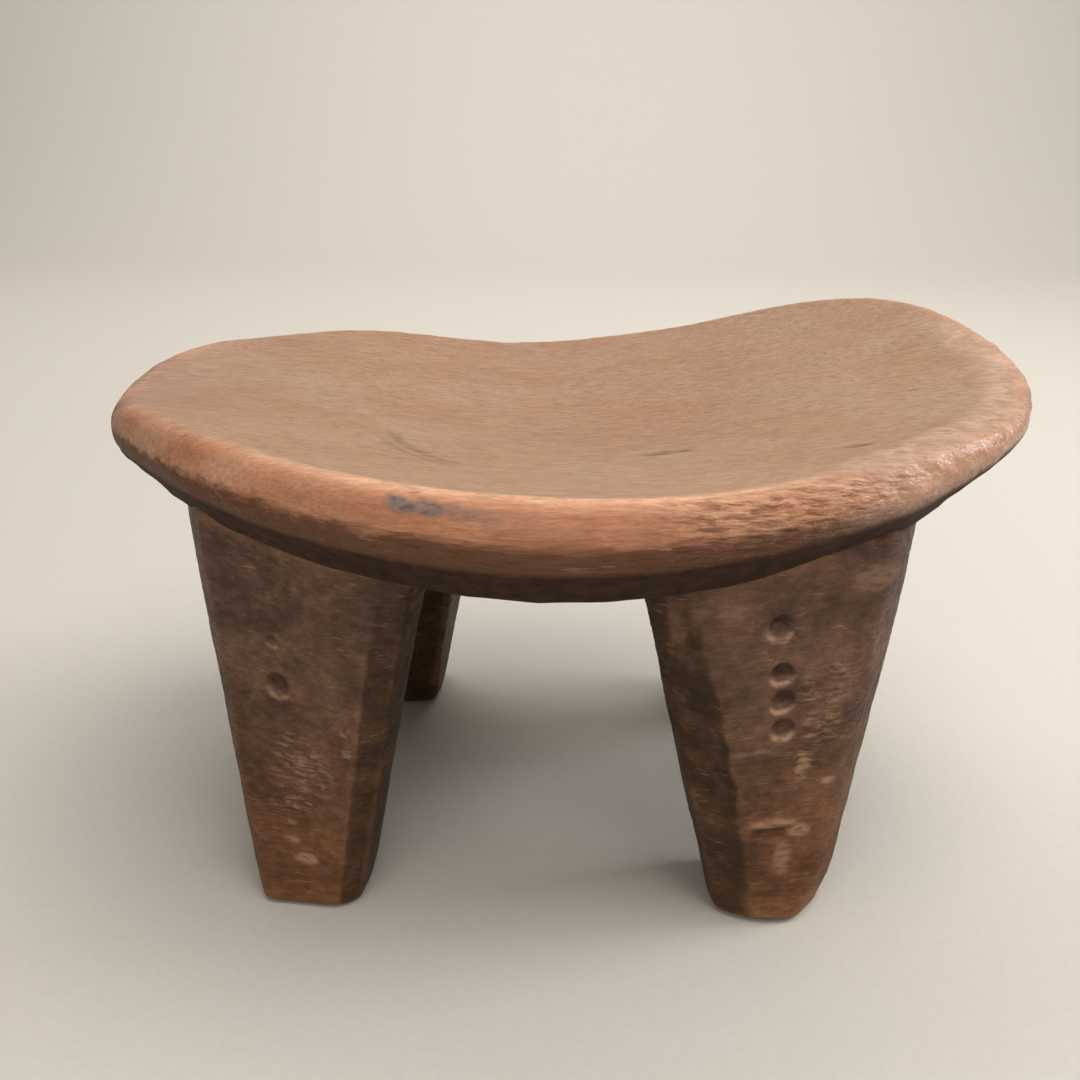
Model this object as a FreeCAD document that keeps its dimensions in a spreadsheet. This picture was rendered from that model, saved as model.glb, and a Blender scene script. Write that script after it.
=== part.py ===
"""A carved wooden headrest, or low stool, in millimetres: a saddle-shaped seat on four faceted legs.

Frame: +X along the seat, +Y to its back, +Z up. The origin is on the ground plane, under the middle
of the seat's outline. The seat is a blank with the plan outline, hollowed above and rounded below
by two lofted cuts. Each leg is a loft from its foot to a section inside the seat. It is trimmed by
the seat's underside, so that leg and seat meet face to face.
"""
import FreeCAD
import Part
import Sketcher
import math
import os

PLAIN_SIZES = {
    "seat_length": 330,
    "seat_depth": 212,
    "left_end_radius": 70,
    "right_end_radius": 90,
    "left_end_back": 17,
    "right_end_back": 9,
    "blank_low": 80,
    "blank_high": 260,
    "profile_reach": 180,
    "section_reach": 120,
    "crest_rounding": 5,
    "bevel_size": 11,
    "leg_section_height": 149,
    "sole_bevel_height": 3,
    "sole_share": 0.92,
    "left_sole_middle_along": -79,
    "right_sole_middle_along": 80,
    "sole_middle_across": -63,
    "rear_foot_shift": 12,
    "rear_top_shift": 4,
    "left_rear_inset": 5,
    "right_rear_inset": 0,
    "pit_radius": 4.6,
    "pit_depth": 2.4,
}
# The dish and the hull are saddles. The floor is a surface's height at the seat's middle, and its front and
# back profiles stand higher by their own rises. Along a profile the curve climbs from its floor to a shoulder
# and a tip at each end. The edge sizes are added to those on the front and back profiles, and the twist
# raises the right end at the back and lowers it at the front.
SURFACE_SIZES = {
    "dish": {
        "floor": 150,
        "front_rise": 12,
        "back_rise": 18,
        "left_shoulder": 24,
        "right_shoulder": 26,
        "left_tip": 6,
        "right_tip": 20,
        "edge_shoulder": -20,
        "edge_tip": 45,
        "twist": 12,
    },
    "hull": {
        "floor": 120,
        "front_rise": 8,
        "back_rise": 13,
        "left_shoulder": 18,
        "right_shoulder": 20,
        "left_tip": 20,
        "right_tip": 35,
        "edge_shoulder": 0,
        "edge_tip": 4,
        "twist": 8,
    },
}
# Where a profile's five poles stand, as shares of profile_reach.
STATIONS = {"left_tip": -1, "left_shoulder": -2 / 3, "centre": 0, "right_shoulder": 2 / 3, "right_tip": 1}
SECTION_SIDES = {"front": -1, "middle": 0, "back": 1}
# Corners of the front legs' sections, along X and across Y, in order round the leg. The rear legs
# mirror them.
CORNERS = (
    "outer_edge",
    "front_outer",
    "front_inner",
    "inner_ridge",
    "inner_edge",
    "inner_back",
    "outer_back",
)
LEG_CORNERS = {
    "left_foot": ((-98, -70), (-95, -80), (-68, -82), (-61, -78), (-60, -66), (-61, -48), (-93, -46)),
    "left_top": ((-124, -36), (-115, -53), (-44, -93), (-34, -88), (-29, -76), (-36, -34), (-114, -18)),
    "right_foot": ((97, -68), (88, -79), (75, -80), (62, -76), (60, -66), (62, -46), (97, -46)),
    "right_top": ((124, -42), (108, -70), (42, -95), (35, -92), (27, -80), (34, -34), (114, -18)),
}
LEG_SECTIONS = {"sole": "0", "foot": "Sizes.sole_bevel_height", "top": "Sizes.leg_section_height"}
LEGS = {
    "leg_front_left": ("left", False),
    "leg_front_right": ("right", False),
    "leg_rear_left": ("left", True),
    "leg_rear_right": ("right", True),
}
# Pits hollowed into a front face: how far along X, how high, and the share of the pit sizes.
PITS = {
    "leg_front_left": ((-84, 84, 1.0), (-85, 99, 0.55)),
    "leg_front_right": ((74, 113, 1.0), (76, 97, 0.95), (77, 87, 0.95), (78, 77, 0.95)),
}
POLE_MARK = 3
CAP_MARGIN = 10
MINIMUM_CUT = 1000
MINIMUM_RIM_RUN = 5
UP = FreeCAD.Vector(0, 0, 1)


def make_sheet(doc):
    """The spreadsheet of driving sizes: column A names a size and column B holds it."""
    sizes = dict(PLAIN_SIZES)
    for surface, surface_sizes in SURFACE_SIZES.items():
        for name, size in surface_sizes.items():
            sizes[f"{surface}_{name}"] = size
    for section, corners in LEG_CORNERS.items():
        for corner, (along, across) in zip(CORNERS, corners):
            sizes[f"{section}_{corner}_along"] = along
            sizes[f"{section}_{corner}_across"] = across
    sheet = doc.addObject("Spreadsheet::Sheet", "Sizes")
    for row, (name, size) in enumerate(sizes.items(), start=1):
        sheet.set(f"A{row}", name)
        sheet.set(f"B{row}", str(size))
        sheet.setAlias(f"B{row}", name)
    doc.recompute()
    return sheet


def make_body(doc, name):
    """An empty body at the origin, labelled with its name."""
    body = doc.addObject("PartDesign::Body", name)
    body.Label = name
    body.Placement = FreeCAD.Placement()
    return body


def sketch_on(body, name, role, offset):
    """A sketch on one of the body's own origin planes, moved along its normal by a bound distance."""
    sketch = body.newObject("Sketcher::SketchObject", name)
    plane = next(item for item in body.Origin.OriginFeatures if item.Role == role)
    sketch.AttachmentSupport = (plane, "")
    sketch.MapMode = "FlatFace"
    sketch.setExpression("AttachmentOffset.Base.z", offset)
    return sketch


def hold(sketch, kind, geometry, point, now, expression):
    """Binds how far a point stands from the sketch's origin, along or across."""
    index = sketch.addConstraint(Sketcher.Constraint(kind, -1, 1, geometry, point, now))
    sketch.setExpression(f"Constraints[{index}]", expression)


def join(sketch, kind, shapes):
    """Constrains each shape's end to the next shape's start, round a closed chain."""
    for shape, following in zip(shapes, shapes[1:] + shapes[:1]):
        sketch.addConstraint(Sketcher.Constraint(kind, shape, 2, following, 1))


def add_arc(sketch, centre, start, finish):
    """An arc about a centre, anticlockwise from start to finish."""
    circle = Part.Circle(centre, UP, (start - centre).Length)
    first, last = (math.atan2(point.y - centre.y, point.x - centre.x) for point in (start, finish))
    if last < first:
        last += 2 * math.pi
    return sketch.addGeometry(Part.ArcOfCircle(circle, first, last), False)


def flank_centre(end_centre, end_radius, side, half_depth):
    """The centre, on the Y axis, of the arc that touches one side of the outline and an end arc."""
    gap = side * end_centre.y - half_depth
    radius = (end_radius**2 - end_centre.x**2 - gap**2) / (2 * (end_radius + gap))
    return FreeCAD.Vector(0, side * (half_depth - radius), 0)


def draw_outline(sketch, sizes):
    """The seat's plan: an arc round each end and two flank arcs along each side, all tangent."""
    half_length = sizes.seat_length / 2
    half_depth = sizes.seat_depth / 2
    radius = {-1: sizes.left_end_radius, 1: sizes.right_end_radius}
    cap = {
        -1: FreeCAD.Vector(radius[-1] - half_length, sizes.left_end_back, 0),
        1: FreeCAD.Vector(half_length - radius[1], sizes.right_end_back, 0),
    }
    middle = {side: FreeCAD.Vector(0, side * half_depth, 0) for side in (-1, 1)}
    flank = {}
    joint = {}
    for end in (-1, 1):
        for side in (-1, 1):
            centre = flank_centre(cap[end], radius[end], side, half_depth)
            flank[end, side] = centre
            joint[end, side] = cap[end] + (cap[end] - centre).normalize() * radius[end]
    left_cap = add_arc(sketch, cap[-1], joint[-1, 1], joint[-1, -1])
    front_left = add_arc(sketch, flank[-1, -1], joint[-1, -1], middle[-1])
    front_right = add_arc(sketch, flank[1, -1], middle[-1], joint[1, -1])
    right_cap = add_arc(sketch, cap[1], joint[1, -1], joint[1, 1])
    back_right = add_arc(sketch, flank[1, 1], joint[1, 1], middle[1])
    back_left = add_arc(sketch, flank[-1, 1], middle[1], joint[-1, 1])
    join(sketch, "Tangent", [left_cap, front_left, front_right, right_cap, back_right, back_left])
    for arc in (front_left, front_right, back_right, back_left):
        sketch.addConstraint(Sketcher.Constraint("PointOnObject", arc, 3, -2))
    for arc, side in ((front_left, -1), (back_right, 1)):
        hold(sketch, "DistanceY", arc, 2, side * half_depth, f"{side} * Sizes.seat_depth / 2")
    for arc, end, name in ((left_cap, -1, "left_end"), (right_cap, 1, "right_end")):
        index = sketch.addConstraint(Sketcher.Constraint("Radius", arc, radius[end]))
        sketch.setExpression(f"Constraints[{index}]", f"Sizes.{name}_radius")
        along = f"{end} * (Sizes.seat_length / 2 - Sizes.{name}_radius)"
        hold(sketch, "DistanceX", arc, 3, cap[end].x, along)
        hold(sketch, "DistanceY", arc, 3, cap[end].y, f"Sizes.{name}_back")


def end_rise(surface, side, end, place):
    """How far a profile stands above its floor at its left or right shoulder or tip."""
    rise = f"Sizes.{surface}_{end}_{place}"
    if side != "middle":
        rise += f" + Sizes.{surface}_edge_{place}"
        if end == "right":
            rise += f" {'+' if side == 'back' else '-'} Sizes.{surface}_twist"
    return f"({rise})"


def pole_height(surface, side, station):
    """What binds a pole's height. The centre pole is set so that the curve runs through its floor."""
    floor = f"Sizes.{surface}_floor"
    if side != "middle":
        floor += f" + Sizes.{surface}_{side}_rise"
    if station == "centre":
        left, right = (end_rise(surface, side, end, "shoulder") for end in ("left", "right"))
        return f"{floor} - ({left} + {right}) / 2"
    end, place = station.split("_")
    return f"{floor} + {end_rise(surface, side, end, place)}"


def draw_profile(sketch, sizes, surface, side, cap_name, cap_beyond):
    """A closed profile: a curve of five bound poles, and three lines round the side that is cut away."""
    reach = sizes.profile_reach
    cap = getattr(sizes, cap_name) + cap_beyond
    heights = {station: pole_height(surface, side, station) for station in STATIONS}
    poles = [
        FreeCAD.Vector(share * reach, float(sketch.evalExpression(heights[station])), 0)
        for station, share in STATIONS.items()
    ]
    curve = sketch.addGeometry(Part.BSplineCurve(poles, None, None, False, 3, None, False), False)
    for index, (station, share) in enumerate(STATIONS.items()):
        mark = sketch.addGeometry(Part.Circle(poles[index], UP, POLE_MARK), True)
        alignment = "InternalAlignment:Sketcher::BSplineControlPoint"
        sketch.addConstraint(Sketcher.Constraint(alignment, mark, 3, curve, index))
        hold(sketch, "DistanceX", mark, 3, poles[index].x, f"{share} * Sizes.profile_reach")
        hold(sketch, "DistanceY", mark, 3, poles[index].y, heights[station])
    right_cap = FreeCAD.Vector(reach, cap, 0)
    left_cap = FreeCAD.Vector(-reach, cap, 0)
    right = sketch.addGeometry(Part.LineSegment(poles[-1], right_cap), False)
    across = sketch.addGeometry(Part.LineSegment(right_cap, left_cap), False)
    left = sketch.addGeometry(Part.LineSegment(left_cap, poles[0]), False)
    join(sketch, "Coincident", [curve, right, across, left])
    sketch.addConstraint(Sketcher.Constraint("Vertical", right))
    sketch.addConstraint(Sketcher.Constraint("Vertical", left))
    sketch.addConstraint(Sketcher.Constraint("Horizontal", across))
    hold(sketch, "DistanceY", right, 2, cap, f"Sizes.{cap_name} + {cap_beyond}")


def cut_to_surface(doc, body, sizes, surface, cap_name, cap_beyond):
    """Cuts the blank back to a surface lofted through a front, a middle and a back profile."""
    volume = body.Tip.Shape.Volume
    sketches = []
    for side, sign in SECTION_SIDES.items():
        sketch = sketch_on(body, f"{surface}_{side}_profile", "XZ_Plane", f"{-sign} * Sizes.section_reach")
        draw_profile(sketch, sizes, surface, side, cap_name, cap_beyond)
        sketches.append(sketch)
    loft = body.newObject("PartDesign::SubtractiveLoft", f"{surface}_cut")
    loft.Profile = sketches[0]
    loft.Sections = sketches[1:]
    doc.recompute()
    if loft.Shape.Volume > volume - MINIMUM_CUT:
        raise RuntimeError(f"{surface}_cut removes nothing")


def rim_edges(shape):
    """The names of the upper and the lower edges of the seat's upright side faces."""
    upper = []
    lower = []
    for index, edge in enumerate(shape.Edges, start=1):
        level = edge.BoundBox.XLength + edge.BoundBox.YLength > MINIMUM_RIM_RUN
        for face in shape.ancestorsOfType(edge, Part.Face):
            if level and isinstance(face.Surface, Part.Cylinder):
                above = edge.CenterOfMass.z > face.CenterOfMass.z
                (upper if above else lower).append(f"Edge{index}")
    return upper, lower


def dress_edges(doc, body, kind, name, edges, size_property):
    """Rounds or bevels the named edges of the body's last feature, by the size that has the same name."""
    feature = body.Tip
    dressed = body.newObject(f"PartDesign::{kind}", name)
    dressed.Base = (feature, edges)
    dressed.setExpression(size_property, f"Sizes.{name}")
    doc.recompute()


def make_seat(doc, sizes):
    """The seat: a blank with the plan outline, a saddle-shaped dish above and a shallow hull below."""
    body = make_body(doc, "seat")
    outline = sketch_on(body, "seat_outline", "XY_Plane", "Sizes.blank_low")
    draw_outline(outline, sizes)
    blank = body.newObject("PartDesign::Pad", "seat_blank")
    blank.Profile = outline
    blank.setExpression("Length", "Sizes.blank_high - Sizes.blank_low")
    doc.recompute()
    cut_to_surface(doc, body, sizes, "dish", "blank_high", CAP_MARGIN)
    cut_to_surface(doc, body, sizes, "hull", "blank_low", -CAP_MARGIN)
    upper, _ = rim_edges(body.Tip.Shape)
    dress_edges(doc, body, "Fillet", "crest_rounding", upper, "Radius")
    _, lower = rim_edges(body.Tip.Shape)
    dress_edges(doc, body, "Chamfer", "bevel_size", lower, "Size")
    return body


def corner_expressions(half, section, corner, rear):
    """What binds a corner's places. The sole is the foot drawn in, and a rear leg mirrors a front one."""
    drawn = "foot" if section == "sole" else section
    along = f"Sizes.{half}_{drawn}_{corner}_along"
    across = f"Sizes.{half}_{drawn}_{corner}_across"
    if section == "sole":
        along = f"Sizes.sole_share * {along} + (1 - Sizes.sole_share) * Sizes.{half}_sole_middle_along"
        across = f"Sizes.sole_share * {across} + (1 - Sizes.sole_share) * Sizes.sole_middle_across"
    if rear:
        along = f"{along} + Sizes.{half}_rear_inset"
        across = f"Sizes.rear_{drawn}_shift - ({across})"
    return along, across


def draw_section(sketch, half, section, rear):
    """A leg's section: straight lines from corner to bound corner."""
    bindings = [corner_expressions(half, section, corner, rear) for corner in CORNERS]
    points = [
        FreeCAD.Vector(*(float(sketch.evalExpression(place)) for place in pair), 0)
        for pair in bindings
    ]
    lines = [
        sketch.addGeometry(Part.LineSegment(start, finish), False)
        for start, finish in zip(points, points[1:] + points[:1])
    ]
    join(sketch, "Coincident", lines)
    for line, point, (along, across) in zip(lines, points, bindings):
        hold(sketch, "DistanceX", line, 1, point.x, along)
        hold(sketch, "DistanceY", line, 1, point.y, across)


def front_corner(sizes, half, section, corner, height):
    """A corner of a front leg's face, at one of its sections."""
    along = getattr(sizes, f"{half}_{section}_{corner}_along")
    across = getattr(sizes, f"{half}_{section}_{corner}_across")
    return FreeCAD.Vector(along, across, height)


def front_point(sizes, half, along, height):
    """The point of a front leg's face at a place along X and a height, and the face's normal there."""
    low = sizes.sole_bevel_height
    high = sizes.leg_section_height
    share = (height - low) / (high - low)
    corners = []
    for corner in ("front_outer", "front_inner"):
        foot = front_corner(sizes, half, "foot", corner, low)
        top = front_corner(sizes, half, "top", corner, high)
        corners.append((foot + (top - foot) * share, top - foot))
    (outer, rise), (inner, _) = corners
    run = inner - outer
    point = outer + run * ((along - outer.x) / run.x)
    normal = run.cross(rise).normalize()
    if normal.y > 0:
        normal = normal * -1
    return point, normal


def make_pits(doc, sizes, name, half):
    """Balls that hollow the round pits out of a front leg's face."""
    balls = []
    for number, (along, height, share) in enumerate(PITS[name], start=1):
        point, normal = front_point(sizes, half, along, height)
        ball = doc.addObject("Part::Sphere", f"{name}_pit_{number}")
        ball.setExpression("Radius", f"Sizes.pit_radius * {share}")
        lift = (sizes.pit_radius - sizes.pit_depth) * share
        ball.Placement.Base = point + normal * lift
        balls.append(ball)
    pits = doc.addObject("Part::MultiFuse", f"{name}_pits")
    pits.Shapes = balls
    return pits


def make_leg(doc, sizes, name, half, rear, seat):
    """A leg: lofted from its foot to a section inside the seat, then trimmed by the seat's underside."""
    body = make_body(doc, f"{name}_blank")
    sketches = []
    for section, height in LEG_SECTIONS.items():
        sketch = sketch_on(body, f"{name}_{section}", "XY_Plane", height)
        draw_section(sketch, half, section, rear)
        sketches.append(sketch)
    loft = body.newObject("PartDesign::AdditiveLoft", f"{name}_loft")
    loft.Profile = sketches[0]
    loft.Sections = sketches[1:]
    loft.Ruled = True
    doc.recompute()
    blank = body
    if name in PITS:
        blank = doc.addObject("Part::Cut", f"{name}_pitted")
        blank.Base = body
        blank.Tool = make_pits(doc, sizes, name, half)
    leg = doc.addObject("Part::Cut", name)
    leg.Label = name
    leg.Base = blank
    leg.Tool = seat
    leg.Placement = FreeCAD.Placement()
    return leg


def check_document(doc):
    """Stops if any object is invalid or in error."""
    for item in doc.Objects:
        if "Invalid" in item.State or "Error" in item.State:
            raise RuntimeError(f"{item.Name} failed: {item.State}")


def write_part(node):
    """Writes one sub-part's shape, if it is one sound solid."""
    shape = node.Shape
    if shape.isNull() or not shape.isValid() or len(shape.Solids) != 1:
        raise RuntimeError(f"{node.Label} is not one valid solid")
    shape.Solids[0].exportStep(f"parts/{node.Label}.step")
    box = shape.optimalBoundingBox(False)
    print(f"{node.Label}: {shape.Volume / 1000:.1f} cm3, X {box.XMin:.1f} to {box.XMax:.1f}, ", end="")
    print(f"Y {box.YMin:.1f} to {box.YMax:.1f}, Z {box.ZMin:.1f} to {box.ZMax:.1f}")


def main():
    """Builds the document, checks it and writes every sub-part."""
    doc = FreeCAD.newDocument("Headrest")
    sizes = make_sheet(doc)
    seat = make_seat(doc, sizes)
    legs = [make_leg(doc, sizes, name, half, rear, seat) for name, (half, rear) in LEGS.items()]
    doc.recompute()
    check_document(doc)
    os.makedirs("parts", exist_ok=True)
    for node in [seat] + legs:
        write_part(node)


main()
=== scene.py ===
"""A worn, carved wooden headrest, or low stool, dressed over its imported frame.

Each carved member is remeshed from its CAD node, softened and tooled in code, and given procedural wood
that follows masks worked out from its own shape. The grain runs along X through every member.
"""
import math
from types import SimpleNamespace

import bmesh
import bpy
import numpy as np
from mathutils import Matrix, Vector, noise


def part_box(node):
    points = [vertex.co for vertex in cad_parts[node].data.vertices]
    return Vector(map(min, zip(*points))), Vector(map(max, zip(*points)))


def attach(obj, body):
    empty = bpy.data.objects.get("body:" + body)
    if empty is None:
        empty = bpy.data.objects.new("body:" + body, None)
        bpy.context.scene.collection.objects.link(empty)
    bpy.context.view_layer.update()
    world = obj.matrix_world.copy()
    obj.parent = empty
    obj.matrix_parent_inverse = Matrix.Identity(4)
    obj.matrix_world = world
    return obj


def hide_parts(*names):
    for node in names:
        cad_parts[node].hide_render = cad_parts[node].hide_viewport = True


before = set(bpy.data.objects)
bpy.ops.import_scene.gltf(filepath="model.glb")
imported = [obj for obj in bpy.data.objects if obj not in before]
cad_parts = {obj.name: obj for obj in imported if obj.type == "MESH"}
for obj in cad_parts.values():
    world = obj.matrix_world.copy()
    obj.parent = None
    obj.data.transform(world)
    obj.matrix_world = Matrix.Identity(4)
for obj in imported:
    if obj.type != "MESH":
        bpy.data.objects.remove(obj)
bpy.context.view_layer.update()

MM = 0.001
# The face size of each new skin.
SEAT_VOXEL = 1.4 * MM
FRONT_LEG_VOXEL = 0.9 * MM
REAR_LEG_VOXEL = 1.2 * MM
# The seat's rim is measured in this many bearings round the middle, over this depth in from its edge.
RIM_SLOTS = 240
RIM_DEPTH = 5 * MM
# The chips and torn patches are placed in this many steps along and up a leg's box.
GRID_STEPS = 20
# The camera's place in metres, how far it looks down and turns to the left in degrees, and its lens in mm.
CAMERA_PLACE = (0.020, -0.380, 0.256)
CAMERA_PITCH = 21.35
CAMERA_YAW = 3.5
CAMERA_LENS = 36.1
SENSOR_WIDTH = 36
# The floor and its backdrop, in metres.
FLOOR_HALF_WIDTH = 5.0
FLOOR_FRONT = -4.0
FLOOR_BACK = 1.6
BACKDROP_TURN = 0.9
BACKDROP_TOP = 4.0
BACKDROP_STEPS = 12


# ---------------------------------------------------------------- arrays and fields


def ramp(values, low, high):
    """0 at low and below, 1 at high and above, and smooth between."""
    share = np.clip((values - low) / (high - low), 0, 1)
    return share * share * (3 - 2 * share)


def bell(values, middle, width):
    """1 at the middle, falling away to either side over the width."""
    return np.exp(-(((values - middle) / width) ** 2))


def noise_field(points, lengths_mm, seed=0, octaves=3):
    """Fractal noise from about -1 to 1, whose features measure lengths_mm along X, Y and Z."""
    scaled = points / (np.array(lengths_mm) * MM) + seed * 7.31
    return np.array([noise.fractal(Vector(place), 1.0, 2.0, octaves) for place in scaled])


def scallop_field(points, lengths_mm, seed=0):
    """Shallow scoops side by side: 0 at the middle of each scoop, and up to about 1 on the ridges between."""
    scaled = points / (np.array(lengths_mm) * MM) + seed * 3.7
    nearest = np.array([noise.voronoi(Vector(place))[0][0] for place in scaled])
    return np.clip(nearest, 0, 1) ** 2


def spot(across, up, half_width_mm, half_height_mm, tilt=0.0, core=0.45):
    """A soft-edged oval round the origin of two coordinates: 1 in its core and 0 outside its half sizes."""
    right = across * math.cos(tilt) + up * math.sin(tilt)
    above = up * math.cos(tilt) - across * math.sin(tilt)
    return 1 - ramp(np.hypot(right / (half_width_mm * MM), above / (half_height_mm * MM)), core, 1.0)


def box_shares(clay, node):
    """Each point's place in a node's box, from 0 to 1 along X, across Y and up Z."""
    low, high = (np.array(corner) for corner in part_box(node))
    return ((clay.points - low) / (high - low)).T


def front_spot(clay, node, along, up, half_width_mm, half_height_mm, tilt=0.0):
    """A spot on a node's front, placed by shares of the node's box: how far along X, and how high."""
    low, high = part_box(node)
    x = low.x + along * (high.x - low.x)
    z = low.z + up * (high.z - low.z)
    oval = spot(clay.points[:, 0] - x, clay.points[:, 2] - z, half_width_mm, half_height_mm, tilt)
    return oval * ramp(-clay.normals[:, 1], 0.1, 0.4)


def top_spot(clay, node, along, across, half_width_mm, half_depth_mm, tilt=0.0):
    """A spot on a node's top."""
    low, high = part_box(node)
    x = low.x + along * (high.x - low.x)
    y = low.y + across * (high.y - low.y)
    oval = spot(clay.points[:, 0] - x, clay.points[:, 1] - y, half_width_mm, half_depth_mm, tilt)
    return oval * ramp(clay.normals[:, 2], 0.3, 0.6)


class Clay:
    """A piece's mesh as arrays that can be shaped, then written back."""

    def __init__(self, piece):
        self.piece = piece
        self.read()

    def read(self):
        """Reads the piece's points, edges and normals, at first and again after its faces have changed."""
        mesh = self.piece.data
        self.points = np.empty(len(mesh.vertices) * 3)
        mesh.vertices.foreach_get("co", self.points)
        self.points = self.points.reshape(-1, 3)
        self.edges = np.empty(len(mesh.edges) * 2, np.int32)
        mesh.edges.foreach_get("vertices", self.edges)
        self.edges = self.edges.reshape(-1, 2)
        self.neighbours = np.bincount(self.edges.ravel(), minlength=len(self.points))
        self.update()

    def update(self):
        """Writes the points to the mesh and reads its normals back."""
        mesh = self.piece.data
        mesh.vertices.foreach_set("co", self.points.ravel())
        mesh.update()
        self.normals = np.empty(len(mesh.vertices) * 3)
        mesh.vertex_normals.foreach_get("vector", self.normals)
        self.normals = self.normals.reshape(-1, 3)

    def neighbour_mean(self, values):
        """Each point's mean of a value over the points joined to it."""
        total = np.zeros(len(values))
        for near, far in ((0, 1), (1, 0)):
            weights = values[self.edges[:, far]]
            total += np.bincount(self.edges[:, near], weights=weights, minlength=len(values))
        return total / self.neighbours

    def relax(self, strength, rounds):
        """Moves each point towards its neighbours, by its own strength, round after round."""
        for _ in range(rounds):
            mean = np.stack([self.neighbour_mean(self.points[:, axis]) for axis in range(3)], axis=1)
            self.points += strength[:, None] * (mean - self.points)
        self.update()

    def spread(self, values, rounds):
        """The values after they have bled into their neighbours."""
        for _ in range(rounds):
            values = self.neighbour_mean(values)
        return values

    def push(self, distance):
        """Moves each point out along its normal."""
        self.points += self.normals * distance[:, None]
        self.update()

    def bending(self, rounds):
        """How much the surface bends outwards (above 0) or inwards (below 0), in millimetres of dip."""
        mean = np.stack([self.neighbour_mean(self.points[:, axis]) for axis in range(3)], axis=1)
        dip = np.einsum("ij,ij->i", self.points - mean, self.normals) / MM
        return self.spread(dip, rounds)

    def mask(self, name, values):
        """Stores a value between 0 and 1 on each point, for the material."""
        layer = self.piece.data.attributes.new(name, "FLOAT", "POINT")
        layer.data.foreach_set("value", np.clip(values, 0, 1).astype(np.float32))


# ---------------------------------------------------------------- pieces


def remeshed_copy(node, voxel):
    """A new piece in the node's place, with an even skin of small faces over the node's shape."""
    piece = bpy.data.objects.new(f"carved_{node}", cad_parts[node].data.copy())
    bpy.context.scene.collection.objects.link(piece)
    skin = piece.modifiers.new("skin", "REMESH")
    skin.mode = "VOXEL"
    skin.voxel_size = voxel
    bpy.context.view_layer.update()
    evaluated = piece.evaluated_get(bpy.context.evaluated_depsgraph_get())
    mesh = bpy.data.meshes.new_from_object(evaluated)
    piece.modifiers.clear()
    piece.data = mesh
    mesh.name = piece.name
    mesh.materials.clear()
    return piece


def refine(piece, chosen):
    """Halves the edges whose two ends are both chosen, so that fine carving fits there."""
    mesh = piece.data
    work = bmesh.new()
    work.from_mesh(mesh)
    edges = [edge for edge in work.edges if chosen[edge.verts[0].index] and chosen[edge.verts[1].index]]
    bmesh.ops.subdivide_edges(work, edges=edges, cuts=1, use_grid_fill=True)
    work.to_mesh(mesh)
    work.free()


def settle(piece, node, material):
    """Shades the piece smooth, gives it its material and lets it stand for its CAD node."""
    piece.data.polygons.foreach_set("use_smooth", [True] * len(piece.data.polygons))
    piece.data.materials.append(material)
    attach(piece, "root")
    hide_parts(node)


# ---------------------------------------------------------------- seat


SEAT_MASKS = (
    "dish", "dish_front", "middle", "left_end", "under",
    "low_band", "wear", "eroded", "polish", "scratch",
)


def rim_places(points):
    """How far each point lies inside the seat's outline, and its share of the rim's height there."""
    bearing = np.arctan2(points[:, 1], points[:, 0])
    radius = np.hypot(points[:, 0], points[:, 1])
    slot = ((bearing + math.pi) / (2 * math.pi) * RIM_SLOTS).astype(int) % RIM_SLOTS
    reach = np.zeros(RIM_SLOTS)
    np.maximum.at(reach, slot, radius)
    outer = radius > reach[slot] - RIM_DEPTH
    top = np.full(RIM_SLOTS, -np.inf)
    bottom = np.full(RIM_SLOTS, np.inf)
    np.maximum.at(top, slot[outer], points[outer, 2])
    np.minimum.at(bottom, slot[outer], points[outer, 2])
    middles = (np.arange(RIM_SLOTS) + 0.5) / RIM_SLOTS * 2 * math.pi - math.pi

    def around(values):
        evened = (np.roll(values, 1) + values + np.roll(values, -1)) / 3
        return np.interp(bearing, middles, evened, period=2 * math.pi)

    inside = around(reach) - radius
    rise = (points[:, 2] - around(bottom)) / (around(top) - around(bottom))
    return inside / MM, rise


def round_rim(clay):
    """Softens the rim, draws in its top and bottom edges, shifts its ends and lowers the left one's lip."""
    inside, rise = rim_places(clay.points)
    along, across, _ = box_shares(clay, "seat")
    front_right = ramp(along, 0.71, 0.85) * (1 - ramp(across, 0.29, 0.52))
    right_tip = ramp(along, 0.82, 0.955)
    low_edge = 1 - ramp(rise, 0.35, 0.7)
    near_rim = 1 - ramp(inside, 20, 40)
    strength = near_rim * np.clip(0.10 + 0.35 * low_edge + 0.35 * front_right, 0, 0.6)
    clay.relax(strength, rounds=22)
    inside, rise = rim_places(clay.points)
    lean = (3.0 + 3.0 * front_right - 2.0 * right_tip) * ramp(rise, 0.35, 1.0)
    lean += (1.6 + 6.5 * right_tip) * (1 - ramp(rise, -0.1, 0.75))
    lean *= 1 - ramp(inside, 5 + 6 * front_right, 17 + 10 * front_right)
    outward = clay.points[:, :2] / np.hypot(clay.points[:, 0], clay.points[:, 1])[:, None]
    clay.points[:, :2] -= lean[:, None] * MM * outward
    clay.points[:, 2] -= 2.0 * MM * front_right * bell(inside, 6, 6) * ramp(rise, 0.6, 1.0)
    clay.points[:, 0] += 0.7 * MM * (1 - ramp(along, 0.045, 0.32))
    clay.points[:, 0] += 3.6 * MM * ramp(along, 0.68, 0.955)
    left_lip = bell(along, 0, 0.05) * (1 - ramp(rise, 0.35, 0.8)) * (1 - ramp(inside, 8, 20))
    clay.points[:, 2] -= 4.0 * MM * left_lip
    clay.relax(0.12 + 0.4 * near_rim * np.maximum(low_edge, front_right), rounds=10)


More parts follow.
